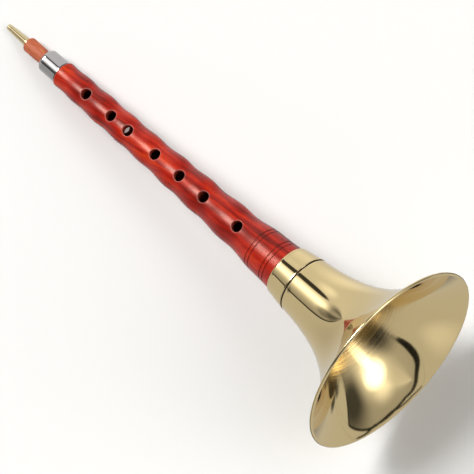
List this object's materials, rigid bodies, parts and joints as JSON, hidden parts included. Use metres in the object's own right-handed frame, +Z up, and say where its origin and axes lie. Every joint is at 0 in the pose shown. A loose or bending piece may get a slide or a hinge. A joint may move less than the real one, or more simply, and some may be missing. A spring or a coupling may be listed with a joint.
{
  "type": "suona",
  "caption": "Suona: wavy conical wooden pipe with finger holes and a thumb hole, loose flared brass bell with a collar, nickel top ferrule, and a plugged brass staple for the reed.",
  "frame": {"origin": "middle of the ground that the instrument covers as it lies, on the surface that it lies on", "axes": "+X from the reed end to the bell's mouth, along the ground under the axis; +Z up, the way the finger holes face. The axis rises 10.3 degrees towards the bell, because the instrument lies on the bell's edge and the staple's tip."},
  "size_m": [0.4358, 0.1602, 0.1577],
  "materials": {
    "spun_brass": "polished outside, fine spinning marks inside",
    "rim_wire_brass": "drawn wire",
    "collar_brass": "polished",
    "lacquered_rosewood": "clear glossy lacquer over red wood",
    "nickel_plate": "polished nickel plate",
    "stained_wood": "stained, unlacquered",
    "waxed_thread": "waxed cotton thread",
    "staple_brass": "drawn tube, lightly polished"
  },
  "bodies": {
    "bell": {"bell": "spun_brass", "bell_rim_wire": "rim_wire_brass", "bell_collar": "collar_brass"},
    "pipe": {"body": "lacquered_rosewood", "top_ferrule": "nickel_plate"},
    "staple": {"staple": "staple_brass", "staple_plug": "stained_wood", "plug_lapping": "waxed_thread"}
  },
  "joints": [
    {"name": "pipe_slide", "type": "slide", "parent": "bell", "child": "pipe", "axis": [0.9838, 0, 0.1792], "range_m": [0, 0.32]},
    {"name": "staple_pull", "type": "slide", "parent": "pipe", "child": "staple", "axis": [-0.9838, 0, -0.1792], "range_m": [0, 0.0136]}
  ]
}
